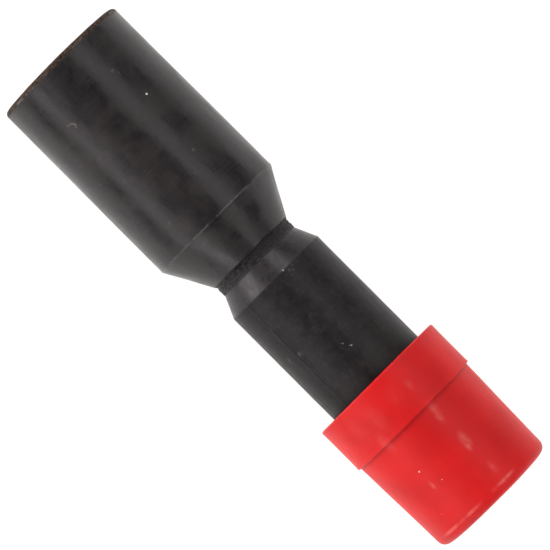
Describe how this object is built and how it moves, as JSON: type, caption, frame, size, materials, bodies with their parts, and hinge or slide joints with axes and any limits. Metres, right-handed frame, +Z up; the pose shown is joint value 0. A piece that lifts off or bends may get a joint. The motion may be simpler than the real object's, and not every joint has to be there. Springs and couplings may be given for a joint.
{
  "type": "ignition coil boot",
  "caption": "Coil-to-plug boot of an ignition coil: two black rubber sleeves on a rigid tube with a resistor and sprung contact inside, and a red push-on cap over the plug end.",
  "frame": {"origin": "bottom centre of the bounding box, on the surface the part lies on", "axes": "+X along the boot's axis from the coil end to the plug end, +Z up"},
  "size_m": [0.1028, 0.0258, 0.0258],
  "materials": {
    "boot_rubber": "satin, smooth",
    "plug_boot_rubber": "dull, dusty",
    "insulator_resin": "matt, scratched",
    "cap_plastic": "soft satin polyethylene",
    "seal_rubber": "satin",
    "brass": "turned",
    "nickel_plate": "satin plated",
    "spring_steel": "drawn wire",
    "ceramic": "fired, unglazed",
    "resistance_wire": "close wound, varnished"
  },
  "bodies": {
    "boot": {"coil_boot": "boot_rubber", "plug_boot": "plug_boot_rubber", "insulator_tube": "insulator_resin", "tower_seal": "seal_rubber", "plunger_guide": "nickel_plate", "contact_spring": "spring_steel", "spring_seat": "brass", "resistor_cap_coil_side": "nickel_plate", "resistor_core": "ceramic", "resistor_winding": "resistance_wire", "resistor_cap_plug_side": "nickel_plate", "terminal_disc": "brass", "plug_terminal": "brass", "terminal_clip": "spring_steel", "terminal_retainer": "nickel_plate"},
    "plunger": {"contact_plunger": "brass"},
    "cap": {"protective_cap": "cap_plastic"}
  },
  "joints": [
    {"name": "contact_press", "type": "slide", "parent": "boot", "child": "plunger", "axis": [1, 0, 0], "range_m": [0, 0.004], "stiffness_N_per_m": 400, "springref_m": -0.006, "deforming": ["contact_spring"]},
    {"name": "cap_pull", "type": "slide", "parent": "boot", "child": "cap", "axis": [1, 0, 0], "range_m": [0, 0.045]}
  ]
}
